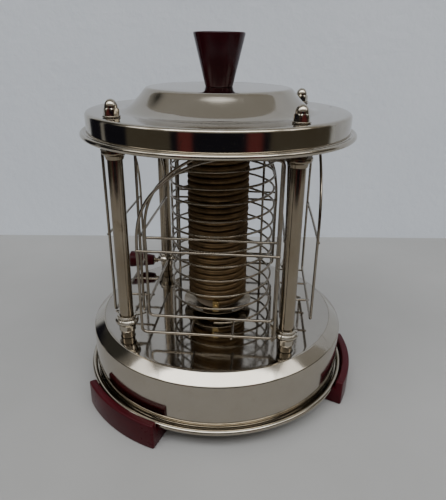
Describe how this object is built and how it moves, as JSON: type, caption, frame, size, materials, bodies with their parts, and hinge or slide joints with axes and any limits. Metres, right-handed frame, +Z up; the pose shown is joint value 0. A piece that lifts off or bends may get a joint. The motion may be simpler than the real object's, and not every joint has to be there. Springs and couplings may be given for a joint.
{
  "type": "upright rack toaster",
  "caption": "Vintage upright electric toaster: bare heater column in a wire guard, swinging wire bread racks between a drum base on feet and a round lid with a knob.",
  "frame": {"origin": "on the table, at the centre of the bounding box of the whole toaster, with the heater axis 4 mm to one side", "axes": "+Z up along the heater axis; -Y is the front rack side; +Y is the side of the appliance inlet"},
  "size_m": [0.2454, 0.2486, 0.3003],
  "materials": {
    "nickel": "polished nickel plate, slightly tarnished",
    "nickel_worn": "worn nickel plate",
    "wire": "tarnished nickel-plated wire",
    "steel": "plain",
    "bakelite_red": "polished dark red Bakelite",
    "bakelite_dark": "polished near-black maroon Bakelite",
    "heater_wire": "oxidised resistance wire",
    "ceramic": "unglazed ceramic",
    "brass": "dull",
    "insulator": "moulded black"
  },
  "bodies": {
    "root": {"foot_left": "bakelite_red", "foot_right": "bakelite_red", "foot_back": "bakelite_red", "foot_screw_left": "steel", "foot_screw_right": "steel", "foot_screw_back": "steel", "base_pan": "nickel", "base_shell": "nickel", "reflector_plate": "nickel", "centre_rod": "steel", "heater_core": "ceramic", "heater_coil": "heater_wire", "heater_dish": "nickel_worn", "heater_terminal": "brass", "guard_coil": "wire", "guard_rod_left": "wire", "guard_rod_right": "wire", "lid": "nickel", "lid_closing_plate": "nickel_worn", "lid_dome": "nickel", "top_knob": "bakelite_dark", "inlet_shroud": "nickel_worn", "inlet_insulator": "insulator", "inlet_pin_left": "brass", "inlet_pin_right": "brass", "tie_rod_front": "steel", "acorn_nut_front": "nickel", "tie_rod_right": "steel", "acorn_nut_right": "nickel", "tie_rod_back": "steel", "acorn_nut_back": "nickel", "tie_rod_left": "steel", "acorn_nut_left": "nickel"},
    "central_gear": {"central_gear": "steel"},
    "rack_front": {"post_tube_front": "nickel_worn", "bottom_collar_front": "nickel", "top_collar_front": "nickel_worn", "outer_frame_front": "wire", "inner_frame_front": "wire", "post_gear_front": "steel"},
    "rack_right": {"post_tube_right": "nickel_worn", "bottom_collar_right": "nickel", "top_collar_right": "nickel_worn", "outer_frame_right": "wire", "inner_frame_right": "wire", "post_gear_right": "steel"},
    "rack_back": {"post_tube_back": "nickel_worn", "bottom_collar_back": "nickel", "top_collar_back": "nickel_worn", "outer_frame_back": "wire", "inner_frame_back": "wire", "post_gear_back": "steel", "handle_stem": "nickel_worn", "handle_grip": "bakelite_red"},
    "rack_left": {"post_tube_left": "nickel_worn", "bottom_collar_left": "nickel", "top_collar_left": "nickel_worn", "outer_frame_left": "wire", "inner_frame_left": "wire", "post_gear_left": "steel"}
  },
  "joints": [
    {"name": "central_gear_turn", "type": "hinge", "parent": "root", "child": "central_gear", "pos_m": [-0.00359, -0.00168, 0.046], "axis": [0, 0, 1], "range_deg": [-53.3, 0.7]},
    {"name": "rack_front_swing", "type": "hinge", "parent": "root", "child": "rack_front", "pos_m": [0.06207, -0.06734, 0.046], "axis": [0, 0, 1], "range_deg": [-3.5, 266.5]},
    {"name": "rack_right_swing", "type": "hinge", "parent": "root", "child": "rack_right", "pos_m": [0.06207, 0.06398, 0.046], "axis": [0, 0, 1], "range_deg": [-3.5, 266.5]},
    {"name": "rack_back_swing", "type": "hinge", "parent": "root", "child": "rack_back", "pos_m": [-0.06925, 0.06398, 0.046], "axis": [0, 0, 1], "range_deg": [-3.5, 266.5]},
    {"name": "rack_left_swing", "type": "hinge", "parent": "root", "child": "rack_left", "pos_m": [-0.06925, -0.06734, 0.046], "axis": [0, 0, 1], "range_deg": [-3.5, 266.5]}
  ],
  "couplings": [
    {"joint": "rack_front_swing", "follows": "central_gear_turn", "ratio": -5},
    {"joint": "rack_right_swing", "follows": "central_gear_turn", "ratio": -5},
    {"joint": "rack_back_swing", "follows": "central_gear_turn", "ratio": -5},
    {"joint": "rack_left_swing", "follows": "central_gear_turn", "ratio": -5}
  ]
}
